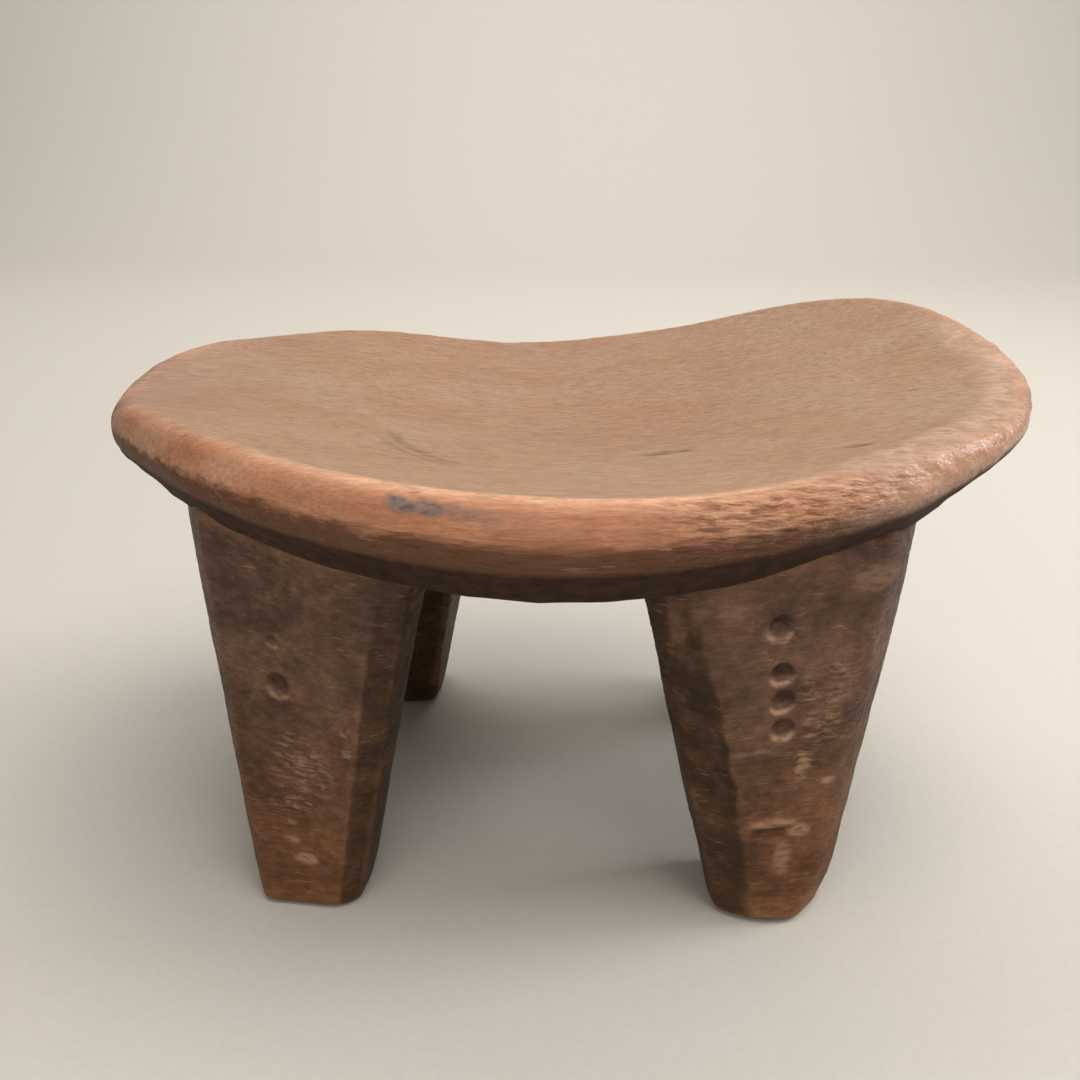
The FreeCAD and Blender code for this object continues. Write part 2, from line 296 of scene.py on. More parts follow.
def lift_back_rim(clay):
    """Raises the far rim a little, save near its left end, where it comes down, and raises both tips."""
    _, rise = rim_places(clay.points)
    along, across, _ = box_shares(clay, "seat")
    lift = 1.8 + 1.2 * bell(along, 0.29, 0.09) - 4.8 * bell(along, 0.11, 0.085)
    lift += 1.0 * bell(along, 0.76, 0.09) - 1.2 * bell(along, 0.45, 0.08)
    lift *= ramp(across, 0.55, 0.85)
    lift += 1.5 * bell(along, 0.0, 0.08) * bell(across, 0.62, 0.16)
    lift += 2.4 * bell(along, 1.0, 0.07) * bell(across, 0.55, 0.16)
    clay.points[:, 2] += lift * MM * ramp(rise, 0.2, 0.9)
    clay.update()


def worn_arc(clay):
    """A long curved scratch on the dish, about the seat's middle, with a fainter one outside it."""
    low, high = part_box("seat")
    right = clay.points[:, 0] - (low.x + high.x) / 2
    back = clay.points[:, 1] - (low.y + high.y) / 2
    radius = np.hypot(right, back) / MM
    ring = bell(radius, 58, 1.7) + 0.6 * bell(radius, 63, 1.1)
    bearing = np.degrees(np.arctan2(back, right))
    stretch = ramp(bearing, -165, -150) * (1 - ramp(bearing, -125, -110))
    return ring * stretch * ramp(clay.normals[:, 2], 0.3, 0.6)


def rim_stain(clay):
    """A dull stain on the front of the rim, two fifths of the way along, in blots that fade to the right."""
    stain = np.zeros(len(clay.points))
    for number, strength in enumerate((1.0, 0.9, 0.6, 0.4)):
        along = 0.39 + 0.025 * number
        stain += strength * front_spot(clay, "seat", along, 0.55 - 0.01 * number, 6, 3, -0.2)
    return stain


def seat_parts(clay):
    """The parts of the seat's surface that are carved and coloured apart: 1 on each part and 0 off it."""
    inside, rise = rim_places(clay.points)
    along, across, _ = box_shares(clay, "seat")
    front = ramp(-clay.normals[:, 1], 0.05, 0.4)
    up = clay.normals[:, 2]
    parts = SimpleNamespace()
    parts.left_end = 1 - ramp(along, 0.03, 0.2)
    parts.dish = ramp(up, 0.55, 0.88) * ramp((inside - 4.5) / (4.5 + 8 * parts.left_end), 0, 1)
    # The front of the dish, which the material makes paler as painted light.
    parts.dish_front = 1 - ramp(across, 0.08, 0.42)
    parts.middle = parts.dish * bell(along, 0.58, 0.16) * bell(across, 0.56, 0.21)
    low_and_outer = (1 - ramp(rise, -0.1, 0.32)) * (1 - ramp(inside, 12, 20))
    # The underside, which the material darkens with grime and painted shade.
    parts.under = np.maximum(ramp(-up, 0.2, 0.6), low_and_outer)
    parts.band = (1 - parts.dish) * (1 - parts.under)
    # The rim's low band, which the material darkens as painted shade.
    parts.low_band = (1 - ramp(rise, 0.34, 0.76)) * (1 - parts.dish)
    # Rubbed wear along the front crest, which the material also paints pale as a highlight.
    parts.wear = bell(inside, 7.5, 3.2) * ramp(rise, 0.75, 0.95) * (1 - ramp(along, 0.68, 0.80))
    parts.wear *= (1 - ramp(across, 0.35, 0.5)) * ramp(along, 0.1, 0.42)
    parts.cracked = ramp(along, 0.56, 0.66)
    crumbled = bell(rise, 0.42, 0.19)
    parts.eroded = 0.75 * ramp(along, 0.12, 0.26) + 0.25 * ramp(along, 0.30, 0.42)
    parts.eroded *= parts.band * front * (1 - ramp(along, 0.76, 0.88))
    parts.eroded *= np.maximum(crumbled, 0.8 * parts.cracked)
    parts.polish = (1 - parts.under) * (1 - ramp(inside, 11, 22)) * ramp(along, 0.72, 0.84)
    parts.polish *= (1 - ramp(across, 0.6, 0.83)) * ramp(rise, 0.1, 0.5)
    parts.scratch = 0.8 * worn_arc(clay)
    parts.scratch += 1.3 * top_spot(clay, "seat", 5 / 8, 1 / 3, 11, 2.4, 0.12)
    parts.scratch += top_spot(clay, "seat", 4 / 5, 1 / 4, 7, 1.9, 0.1)
    return parts


def carve_seat(clay, parts):
    """Leaves adze scoops, torn grain, dents and scratches on the seat."""
    depth = 0.4 * MM * noise_field(clay.points, (60, 45, 45), seed=1, octaves=2)
    depth += 0.5 * MM * parts.band * noise_field(clay.points, (17, 17, 14), seed=2, octaves=2)
    depth += 0.4 * MM * parts.polish * noise_field(clay.points, (6, 6, 6), seed=3, octaves=2)
    depth += 0.7 * MM * parts.under * scallop_field(clay.points, (17, 13, 13), seed=1)
    furrows = np.abs(noise_field(clay.points, (26, 3.0, 2.6), seed=4, octaves=3))
    depth -= (0.6 + 0.2 * parts.cracked) * MM * parts.eroded * furrows
    depth -= 0.35 * MM * parts.scratch
    clay.push(depth)


def mask_seat(clay, parts):
    """Stores what the seat's material needs to know."""
    # Painted shade: the material darkens the inward bends of the rim and band.
    hollow_shade = ramp(-clay.bending(rounds=2), 0.012, 0.09) * (1 - parts.dish) * (1 - 0.6 * parts.cracked)
    for name in SEAT_MASKS:
        clay.mask(name, getattr(parts, name))
    clay.mask("cracked", parts.eroded * parts.cracked)
    clay.mask("hollow_shade", hollow_shade)
    clay.mask("stain", rim_stain(clay))


def make_seat(material):
    """The seat, finer along the front of its rim than elsewhere."""
    piece = remeshed_copy("seat", SEAT_VOXEL)
    clay = Clay(piece)
    inside, _ = rim_places(clay.points)
    _, across, _ = box_shares(clay, "seat")
    refine(piece, (inside < 14) & (across < 0.38))
    clay.read()
    round_rim(clay)
    lift_back_rim(clay)
    parts = seat_parts(clay)
    carve_seat(clay, parts)
    mask_seat(clay, parts)
    settle(piece, "seat", material)


# ---------------------------------------------------------------- legs


PITS = {
    # Each pit in millimetres: where the CAD has it along X and how high, its radius, and how much deeper
    # than the CAD's it goes.
    "leg_front_left": ((-84, 84, 4.4, 1.6), (-85, 99, 2.2, 0.5)),
    "leg_front_right": ((74, 113, 4.4, 1.3), (76, 97, 4.0, 1.7), (77, 87, 4.0, 1.6), (78, 77, 4.0, 1.9)),
}
CHIPS = {
    # Each chip: its place along and up the grid, its half width, half height and depth in millimetres, and
    # how much paler than the leg its floor is. A depth below 0 is a raised lip.
    "leg_front_left": (
        (10, 3, 5.5, 3.0, 0.8, 1.0),
        (9, 4, 4.0, 1.6, 0.5, 0.9),
        (9, 5, 2.5, 1.5, 0.3, 0.5),
        (7, 18, 2.5, 1.0, 0.3, 0.6),
        (14, 19, 2.0, 0.9, 0.3, 0.7),
    ),
    "leg_front_right": (
        # The paleness of a raised lip is a painted highlight.
        (10, 6, 11.0, 2.4, -0.8, 0.8),
        (10, 5.5, 8.0, 2.8, 1.5, 0.0),
        (11, 4, 4.0, 9.0, 0.3, 0.65),
        (12, 5.5, 5.0, 3.4, -0.4, 0.85),
        (14, 8, 3.5, 2.2, 0.8, 1.0),
        (12, 9, 3.0, 4.5, 0.8, 1.0),
        (8, 10, 9.0, 1.4, 0.4, 0.4),
        (16, 18, 11.0, 6.0, 0.0, 0.35),
        (6, 17, 7.0, 4.0, 0.0, 0.25),
    ),
}
TORN = {
    # Each patch of torn grain: its place along and up the grid, and its half width and half height in
    # millimetres.
    "leg_front_left": ((14, 10, 3, 12), (10, 8, 15, 18), (9, 6, 12, 4)),
    "leg_front_right": ((13, 13, 11, 11), (13, 11, 9, 10), (12, 9, 5, 9)),
}


def sink_into_seat(clay, node):
    """Raises a leg's trimmed top a little into the seat, so that no softened edge shows a gap."""
    _, _, height = box_shares(clay, node)
    top = ramp(clay.normals[:, 2], 0.3, 0.6) * ramp(height, 0.65, 0.72)
    clay.points[:, 2] += 5 * MM * top
    clay.update()


def tuck_under_seat(clay, node):
    """Draws a front leg's top back, where it would stand out in front of the seat's underside."""
    low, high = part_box(node)
    _, across, height = box_shares(clay, node)
    ahead = np.clip(0.145 - across, 0, None) * (high.y - low.y)
    clay.points[:, 1] += 0.55 * ahead * ramp(height, 0.58, 0.90)
    clay.update()


def past_edge(clay, box, foot, top, outward):
    """How far each point stands out past a slanting edge, and its share of the leg's height.

    The edge's foot and top are given in plan, as shares of the leg's box.
    """
    low, high = (np.array(corner) for corner in box)
    size = high - low
    height = (clay.points[:, 2] - low[2]) / size[2]
    start, finish = (low[:2] + np.array(place) * size[:2] for place in (foot, top))
    edge = start + height[:, None] * (finish - start)
    return (clay.points[:, :2] - edge) @ outward, height


def hollow_facet(clay):
    """Cuts the front right leg's narrow front facet deeper at its middle, so its edges bow."""
    outward = np.array([-0.42, -0.907])
    proud, height = past_edge(clay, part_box("leg_front_right"), (0.45, 0.18), (0.10, -0.01), outward)
    cut = 2.6 * MM * np.sin(np.clip(height, 0, 1) * math.pi) ** 0.8
    cut += 0.9 * MM * noise_field(clay.points, (9, 9, 9), seed=12, octaves=3) * ramp(height, 0.1, 0.4)
    clay.points[:, :2] -= np.clip(proud + cut, 0, None)[:, None] * outward
    clay.update()


def bevel_outer_edge(clay):
    """Cuts a narrow facet along the front left leg's outer front edge."""
    outward = np.array([-0.80, -0.60])
    proud, _ = past_edge(clay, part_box("leg_front_left"), (0.30, 0.16), (0.09, 0.50), outward)
    clay.points[:, :2] -= np.clip(proud + 1.8 * MM, 0, None)[:, None] * outward
    clay.update()


def round_outer_edge(clay):
    """Rounds the front right leg's outer front edge into a soft roll."""
    along, across, height = box_shares(clay, "leg_front_right")
    near = bell(along, 0.64 + 0.22 * height, 0.19) * (1 - ramp(across, 0.45, 0.75)) * ramp(height, 0.02, 0.12)
    clay.points[:, 0] += 3.2 * MM * near
    clay.relax(0.6 * near, rounds=90)


def round_foot(clay):
    """Rounds off a leg's lowest edges and corners, and leaves its sole flat on the floor."""
    floor = clay.points[:, 2].min()
    clay.relax(0.5 * (1 - ramp(clay.points[:, 2], 4 * MM, 13 * MM)), rounds=22)
    clay.points[:, 2] += floor - clay.points[:, 2].min()


def near_pits(clay, node):
    """Which points of a leg's front lie in or close round its pits."""
    near = np.zeros(len(clay.points), bool)
    for along, up, radius, _ in PITS.get(node, ()):
        away = np.hypot(clay.points[:, 0] / MM - along, clay.points[:, 2] / MM - up)
        near |= (away < 2 * radius) & (clay.normals[:, 1] < -0.1)
    return near


def torn_patches(clay, node):
    """Where a leg's grain is torn."""
    torn = np.zeros(len(clay.points))
    for along, up, half_width, half_height in TORN.get(node, ()):
        patch = front_spot(clay, node, along / GRID_STEPS, up / GRID_STEPS, half_width, half_height)
        torn = np.maximum(torn, patch)
    return torn


def chip_marks(clay, node):
    """How deep a leg's chips go, and how pale they are."""
    depth = np.zeros(len(clay.points))
    pale_and_lit = np.zeros(len(clay.points))
    for along, up, half_width, half_height, deep, paleness in CHIPS.get(node, ()):
        chip = front_spot(clay, node, along / GRID_STEPS, up / GRID_STEPS, half_width, half_height)
        depth += deep * MM * chip
        pale_and_lit = np.maximum(pale_and_lit, chip * paleness)
    return depth, pale_and_lit


def pit_marks(clay, node):
    """How far back a leg's pits go, the painted shadow in their upper parts, and the painted highlight on the
    lip under each.
    """
    _, across, _ = box_shares(clay, node)
    front = ramp(-clay.normals[:, 1], 0.1, 0.4)
    back = np.zeros(len(clay.points))
    pit_shadow = np.zeros(len(clay.points))
    lip_highlight = np.zeros(len(clay.points))
    for along, up, radius, deep in PITS.get(node, ()):
        above = (clay.points[:, 2] / MM - up) / radius
        away = np.hypot((clay.points[:, 0] / MM - along) / radius, above)
        away *= 1 + 0.12 * noise_field(clay.points, (6, 6, 6), seed=9, octaves=2)
        bowl = np.clip(1 - away**2, 0, 1) ** 0.6 * (across < 0.5)
        back += deep * MM * bowl * (1 + 0.4 * above)
        # Painted shadow in the upper part of each pit.
        pit_shadow = np.maximum(pit_shadow, bowl * ramp(above, -0.7, 0.5))
        # Painted highlight on the lower lip of each pit.
        lip_highlight = np.maximum(lip_highlight, bell(away, 0.97, 0.19) * ramp(-above, 0.1, 0.7) * front)
    return back, pit_shadow, lip_highlight


def shaded_side(clay, low):
    """A leg's faces that look in under the seat, told by its box's low corner. A rear leg's front is one."""
    towards_middle = 1 if low.x < 0 else -1
    inner = ramp(towards_middle * clay.normals[:, 0], 0.16, 0.36)
    if low.y > 0:
        inner = np.maximum(inner, ramp(-clay.normals[:, 1], 0.1, 0.4))
    return inner


def shape_leg(clay, node):
    """Leaves tool strokes, pits and chips on a leg, and stores what its material needs to know."""
    low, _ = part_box(node)
    _, _, height = box_shares(clay, node)
    inner = shaded_side(clay, low)
    torn = torn_patches(clay, node)
    chips, pale_and_lit = chip_marks(clay, node)
    back, pit_shadow, lip_highlight = pit_marks(clay, node)
    # The painted highlights on the pits' lips join the chips' own paleness.
    pale_and_lit = np.maximum(pale_and_lit, lip_highlight)
    depth = 0.5 * MM * noise_field(clay.points, (26, 26, 34), seed=5, octaves=2)
    depth += 0.16 * MM * noise_field(clay.points, (7, 7, 9), seed=6, octaves=2)
    depth += 0.3 * MM * scallop_field(clay.points, (9, 9, 40), seed=2)
    depth -= 0.2 * MM * np.abs(noise_field(clay.points, (9, 9, 1.8), seed=7, octaves=2))
    depth -= 1.3 * MM * torn * np.abs(noise_field(clay.points, (6, 6, 4), seed=8, octaves=3))
    depth -= chips
    clay.push(depth * ramp(clay.points[:, 2], 0.5 * MM, 4 * MM))
    clay.points[:, 1] += back
    clay.points[:, 2] = np.maximum(clay.points[:, 2], low.z)
    clay.update()

    bending = clay.bending(rounds=3)
    clay.mask("wear", ramp(bending, 0.012, 0.07))
    # Painted shade in hollows and in the pits' upper parts, kept off the pale places.
    clay.mask("hollow_shade", np.maximum(ramp(-bending, 0.02, 0.12), 0.75 * pit_shadow) * (1 - pale_and_lit))
    clay.mask("pale_and_lit", pale_and_lit)
    clay.mask("torn", torn)
    clay.mask("inner", inner)
    clay.mask("foot", 1 - ramp(height, 0.05, 0.75))
    clay.mask("sole", 1 - ramp(height, 0.02, 0.10))


def make_leg(node, voxel, material):
    """A leg over its CAD node, finer round its pits than elsewhere."""
    piece = remeshed_copy(node, voxel)
    clay = Clay(piece)
    if node == "leg_front_right":
        hollow_facet(clay)
    if node == "leg_front_left":
        bevel_outer_edge(clay)
    if node in PITS:
        tuck_under_seat(clay, node)
    sink_into_seat(clay, node)
    clay.relax(np.full(len(clay.points), 0.5), rounds=4)
    if node == "leg_front_right":
        round_outer_edge(clay)
    round_foot(clay)
    clay.push(0.6 * MM * ramp(clay.points[:, 2], 0, 3 * MM))
    refine(piece, near_pits(clay, node))
    clay.read()
    shape_leg(clay, node)
    settle(piece, node, material)


# ---------------------------------------------------------------- shader helpers


class Shader:
    """A material whose nodes are added by short calls."""

    def __init__(self, name):
        self.material = bpy.data.materials.new(name)
        self.material.use_nodes = True
        self.tree = self.material.node_tree
        self.tree.nodes.clear()

    def put(self, kind, inputs, **settings):
        """Adds a node and fills its inputs with plain values or with other nodes' outputs."""
        made = self.tree.nodes.new("ShaderNode" + kind)
        for name, value in settings.items():
            setattr(made, name, value)
        for name, value in inputs.items():
            if isinstance(value, bpy.types.NodeSocket):
                self.tree.links.new(value, made.inputs[name])
            else:
                made.inputs[name].default_value = value
        return made

    def mask(self, name):
        """A value that was stored on the mesh."""
        return self.put("Attribute", {}, attribute_name=name).outputs["Fac"]

    def math(self, operation, first, second):
        """One sum on two values."""
        return self.put("Math", {0: first, 1: second}, operation=operation).outputs[0]

    def step(self, value, low, high, least=0.0, most=1.0):
        """A smooth step from least to most as the value passes from low to high."""
        inputs = {"Value": value, "From Min": low, "From Max": high, "To Min": least, "To Max": most}
        return self.put("MapRange", inputs, interpolation_type="SMOOTHSTEP").outputs["Result"]

    def mix(self, share, first, second, mode="MIX"):
        """Mixes two colours."""
        inputs = {0: share}
        for socket, value in ((6, first), (7, second)):
            inputs[socket] = value if isinstance(value, bpy.types.NodeSocket) else (*value, 1)
        return self.put("Mix", inputs, data_type="RGBA", blend_type=mode).outputs[2]

    def tint(self, colour, where, share, tint):
        """Mixes a share of the tint into a colour, to the degree that where is 1."""
        return self.mix(self.math("MULTIPLY", where, share), colour, tint)

    def wood_space(self):
        """The object's own coordinates, bent a little so that the grain isn't ruled straight."""
        place = self.put("TexCoord", {}).outputs["Object"]
        sway = self.put("TexNoise", {"Vector": place, "Scale": 13, "Detail": 1}).outputs["Color"]
        bent = {0: sway, 1: (0.004, 0.005, 0.004), 2: place}
        return self.put("VectorMath", bent, operation="MULTIPLY_ADD").outputs["Vector"]

    def pattern(self, place, lengths_mm, detail=3.0, roughness=0.55, shift=0.0):
        """Noise from 0 to 1 whose features measure lengths_mm along X, Y and Z."""
        scale = tuple(1 / (length * MM) for length in lengths_mm)
        inputs = {"Vector": place, "Scale": scale, "Location": (shift, shift, shift)}
        moved = self.put("Mapping", inputs).outputs["Vector"]
        inputs = {"Vector": moved, "Scale": 1.0, "Detail": detail, "Roughness": roughness}
        return self.put("TexNoise", inputs).outputs["Fac"]

    def shade(self, colour, share, amount, value):
        """Darkens or lightens a colour by a grey factor that goes from amount to 1 with the value."""
        grey = self.step(value, share[0], share[1], amount[0], amount[1])
        combined = self.put("CombineColor", {0: grey, 1: grey, 2: grey}).outputs[0]
        return self.mix(1.0, colour, combined, "MULTIPLY")

    def bump(self, height, distance_mm, normal=None):
        """Raises the surface by up to distance_mm where the height is 1."""
        inputs = {"Height": height, "Distance": distance_mm * MM, "Strength": 1.0}
        if normal is not None:
            inputs["Normal"] = normal
        return self.put("Bump", inputs).outputs["Normal"]

    def close(self, colour, roughness, normal, **sockets):
        """Joins colour, roughness and relief into the finished material."""
        inputs = {"Base Color": colour, "Roughness": roughness, "Normal": normal}
        inputs.update({name.replace("_", " "): value for name, value in sockets.items()})
        surface = self.put("BsdfPrincipled", inputs).outputs[0]
        self.put("OutputMaterial", {"Surface": surface})
        return self.material


# ---------------------------------------------------------------- materials


def seat_patterns(s):
    """The patterns of the seat's wood, the coarsest first."""
    place = s.wood_space()
    return SimpleNamespace(
        tone=s.pattern(place, (75, 22, 16), 3, 0.6),
        patches=s.pattern(place, (38, 26, 22), 3, 0.6, 4.0),
        grooves=s.pattern(place, (34, 2.6, 2.0), 3, 0.5, 9.0),
        streaks=s.pattern(place, (12, 1.2, 1.2), 4, 0.62, 1.0),
        furrows=s.pattern(place, (12, 1.9, 1.4), 4, 0.6, 8.0),
        mottle=s.pattern(place, (7, 5, 5), 4, 0.65, 6.0),
        dashes=s.pattern(place, (5, 0.8, 0.8), 2, 0.5, 3.0),
        lumps=s.pattern(place, (4.5, 4.5, 4.5), 3, 0.55, 10.0),
        pores=s.pattern(place, (4.5, 0.6, 0.6), 1, 0.5, 7.0),
        fibres=s.pattern(place, (3.6, 0.5, 0.5), 3, 0.6, 2.0),
        specks=s.pattern(place, (3.4, 1.6, 1.3), 3, 0.6, 5.0),
    )


def rim_colour(s, wood):
    """Orange-brown, greyer and paler at the left end, with painted shade along the low edge."""
    rim = s.mix(s.step(wood.tone, 0.35, 0.65), (0.48, 0.205, 0.105), (0.59, 0.305, 0.180))
    rim = s.mix(s.step(wood.mottle, 0.52, 0.72, 0, 0.5), rim, (0.36, 0.175, 0.10))
    ends = s.mix(s.step(wood.mottle, 0.35, 0.65), (0.24, 0.145, 0.10), (0.46, 0.28, 0.20))
    rim = s.mix(s.math("MULTIPLY", s.mask("left_end"), s.step(wood.patches, 0.35, 0.6, 0.35, 1)), rim, ends)
    # Painted shade along the low edge, broken up by the grooves.
    low = s.math("ADD", s.mask("low_band"), s.math("MULTIPLY", wood.grooves, 1.2))
    return s.mix(s.step(low, 0.80, 1.45, 0.0, 0.95), rim, (0.108, 0.043, 0.018))


def dish_colour(s, wood):
    """Dusty tan, redder at the middle, paler at the left end, and paler along the front as painted light."""
    dusty = s.mix(s.step(wood.tone, 0.35, 0.65), (0.325, 0.176, 0.102), (0.352, 0.205, 0.125))
    dusty = s.mix(s.step(wood.patches, 0.42, 0.68, 0, 0.7), dusty, (0.352, 0.228, 0.150))
    dusty = s.tint(dusty, s.mask("middle"), 0.5, (0.338, 0.170, 0.097))
    dusty = s.tint(dusty, s.mask("left_end"), 0.6, (0.36, 0.225, 0.165))
    # Painted light: the front of the dish is paler, as if lit more.
    return s.tint(dusty, s.mask("dish_front"), 0.6, (0.385, 0.232, 0.148))


def handled(s, wood, colour):
    """Adds the wax polish, the rubbed wear with a painted highlight, and the underside's grime and painted
    shade.
    """
    waxed = s.mix(s.step(wood.mottle, 0.4, 0.62), (0.42, 0.255, 0.18), (0.58, 0.37, 0.27))
    colour = s.tint(colour, s.mask("polish"), 0.7, waxed)
    # The crest's rubbed wear, painted pale as a highlight as well.
    worn_and_lit = s.math("MULTIPLY", s.mask("wear"), s.step(wood.mottle, 0.35, 0.65, 0.4, 0.9))
    colour = s.mix(worn_and_lit, colour, (0.74, 0.42, 0.25))
    # Grime and painted shade: the underside is darkened as if shaded under the rim.
    shade_and_grime = s.mix(s.step(wood.mottle, 0.4, 0.65), (0.026, 0.010, 0.004), (0.048, 0.019, 0.008))
    return s.mix(s.mask("under"), colour, shade_and_grime)


def grained(s, wood, colour):
    """Adds streaks and fibres, and in the dish pores, short dark ticks and scratches."""
    colour = s.shade(colour, (0.3, 0.7), (0.86, 1.10), wood.streaks)
    colour = s.shade(colour, (0.3, 0.7), (0.87, 1.10), wood.fibres)
    pore = s.math("MULTIPLY", s.mask("dish"), s.step(wood.pores, 0.54, 0.64))
    colour = s.tint(colour, pore, 0.30, (0.15, 0.078, 0.042))
    crowded = s.math("MAXIMUM", s.mask("middle"), s.step(wood.patches, 0.52, 0.66))
    ticks = s.math("MULTIPLY", s.step(wood.dashes, 0.59, 0.67), crowded)
    colour = s.tint(colour, ticks, 0.6, (0.16, 0.082, 0.045))
    scored = s.math("MULTIPLY", s.mask("scratch"), s.step(wood.streaks, 0.62, 0.40, 0.45, 0.95))
    return s.mix(scored, colour, (0.13, 0.064, 0.035))


def torn_grain(s, wood, colour, shaded_pits):
    """Adds pits with painted shade, pale crumbs and long cracks where the band's grain is torn, and shade in
    hollows.
    """
    colour = s.tint(colour, shaded_pits, 0.6, (0.15, 0.062, 0.028))
    crumbs = s.math("MULTIPLY", s.mask("eroded"), s.step(wood.furrows, 0.60, 0.68))
    colour = s.tint(colour, crumbs, 0.4, (0.52, 0.30, 0.17))
    lines = s.math("MULTIPLY", s.mask("eroded"), s.step(wood.grooves, 0.46, 0.40))
    colour = s.tint(colour, lines, 0.62, (0.15, 0.062, 0.028))
    ridges = s.math("MULTIPLY", s.mask("cracked"), s.step(wood.grooves, 0.54, 0.64))
    ridges = s.math("MULTIPLY", ridges, s.step(s.mask("low_band"), 0.5, 0.0))
    colour = s.tint(colour, ridges, 0.55, (0.70, 0.41, 0.24))
    # Painted shade in hollows.
    return s.tint(colour, s.mask("hollow_shade"), 0.6, (0.13, 0.06, 0.03))


def stained(s, wood, colour):
    """Adds the dull stain on the rim."""
    blot = s.math("MULTIPLY", s.mask("stain"), s.step(wood.specks, 0.30, 0.50, 0.45, 1.0))
    ink = s.mix(s.step(wood.specks, 0.5, 0.62), (0.23, 0.165, 0.138), (0.14, 0.107, 0.094))
    return s.mix(blot, colour, ink)


def seat_wood():
    """Rubbed brown hardwood: dusty tan in the dish, orange-brown on the rim, dark beneath from grime and
    painted shade.
    """
    s = Shader("seat_wood")
    wood = seat_patterns(s)
    # Painted shade in the dips of the bump where the grain is torn.
    shaded_pits = s.math("MULTIPLY", s.mask("eroded"), s.step(wood.furrows, 0.50, 0.38))
    colour = s.mix(s.mask("dish"), rim_colour(s, wood), dish_colour(s, wood))
    colour = handled(s, wood, colour)
    colour = grained(s, wood, colour)
    colour = torn_grain(s, wood, colour, shaded_pits)
    colour = stained(s, wood, colour)

    rough = s.step(wood.streaks, 0.3, 0.7, 0.66, 0.54)
    rough = s.math("SUBTRACT", rough, s.math("MULTIPLY", s.mask("polish"), 0.33))
    rough = s.math("ADD", rough, s.math("MULTIPLY", s.math("MAXIMUM", shaded_pits, s.mask("under")), 0.28))
    normal = s.bump(wood.fibres, 0.05)
    normal = s.bump(wood.streaks, 0.07, normal)
    normal = s.bump(s.math("MULTIPLY", wood.lumps, s.mask("polish")), 0.9, normal)
    normal = s.bump(s.math("MULTIPLY", wood.furrows, s.mask("eroded")), 1.0, normal)
    normal = s.bump(s.math("MULTIPLY", wood.grooves, s.mask("cracked")), 2.0, normal)
    return s.close(colour, rough, normal, Specular_IOR_Level=0.31)


def leg_patterns(s):
    """The patterns of the legs' wood, the coarsest first."""
    place = s.wood_space()
    return SimpleNamespace(
        tone=s.pattern(place, (26, 26, 18), 3, 0.6),
        patches=s.pattern(place, (13, 13, 10), 4, 0.65, 4.0),
        streaks=s.pattern(place, (8, 2.5, 1.2), 4, 0.62, 1.0),
        flaky=s.pattern(place, (6, 4.5, 1.7), 4, 0.62, 11.0),
        scratch_glints=s.pattern(place, (6, 4, 0.62), 3, 0.6, 3.0),
        mottle=s.pattern(place, (4, 4, 3), 4, 0.65, 6.0),
        fibres=s.pattern(place, (3.2, 0.8, 0.42), 3, 0.6, 2.0),
    )


def leg_colour(s, wood):
    """Grey-brown above, warmer towards the foot and darker on the shaded sides, with its grain."""
    colour = s.mix(s.step(wood.tone, 0.38, 0.62), (0.092, 0.048, 0.029), (0.148, 0.077, 0.047))
    warm = s.mix(s.step(wood.tone, 0.38, 0.62), (0.108, 0.042, 0.014), (0.178, 0.073, 0.027))
    colour = s.mix(s.math("MULTIPLY", s.mask("foot"), s.step(wood.patches, 0.3, 0.55, 0.5, 1)), colour, warm)
    colour = s.tint(colour, s.mask("sole"), 0.6, (0.27, 0.12, 0.05))
    shaded = s.mix(s.step(wood.tone, 0.38, 0.62), (0.040, 0.018, 0.006), (0.064, 0.031, 0.011))
    colour = s.tint(colour, s.mask("inner"), 0.9, shaded)
    colour = s.shade(colour, (0.3, 0.7), (0.86, 1.13), wood.streaks)
    colour = s.shade(colour, (0.3, 0.7), (0.90, 1.09), wood.fibres)
    colour = s.shade(colour, (0.36, 0.66), (0.84, 1.16), wood.mottle)
    return s.shade(colour, (0.36, 0.66), (0.86, 1.14), wood.patches)


def knocked(s, wood, colour):
    """Adds the worn edges, fine pale scratches with painted glints, torn flakes, pale chips and painted
    shade.
    """
    worn_and_lit = s.math("MULTIPLY", s.mask("wear"), s.step(wood.patches, 0.35, 0.6, 0.1, 0.5))
    colour = s.mix(worn_and_lit, colour, (0.27, 0.13, 0.068))
    # Painted glints: fine scratch lines lightened as if they catch the light.
    glints = s.math("MULTIPLY", s.step(wood.scratch_glints, 0.60, 0.70), s.step(wood.patches, 0.42, 0.58, 0.15, 1))
    colour = s.tint(colour, glints, 0.5, (0.33, 0.22, 0.16))
    flakes = s.math("MULTIPLY", s.mask("torn"), s.step(wood.flaky, 0.44, 0.72))
    colour = s.tint(colour, flakes, 0.8, (0.40, 0.25, 0.155))
    # Pale chip floors, with painted highlights on the pits' lower lips and on raised lips.
    chip = s.math("MULTIPLY", s.mask("pale_and_lit"), s.step(wood.flaky, 0.36, 0.58, 0.25, 0.95))
    colour = s.mix(chip, colour, (0.39, 0.235, 0.145))
    # Painted shade in hollows and pits.
    return s.tint(colour, s.mask("hollow_shade"), 0.7, (0.035, 0.022, 0.016))


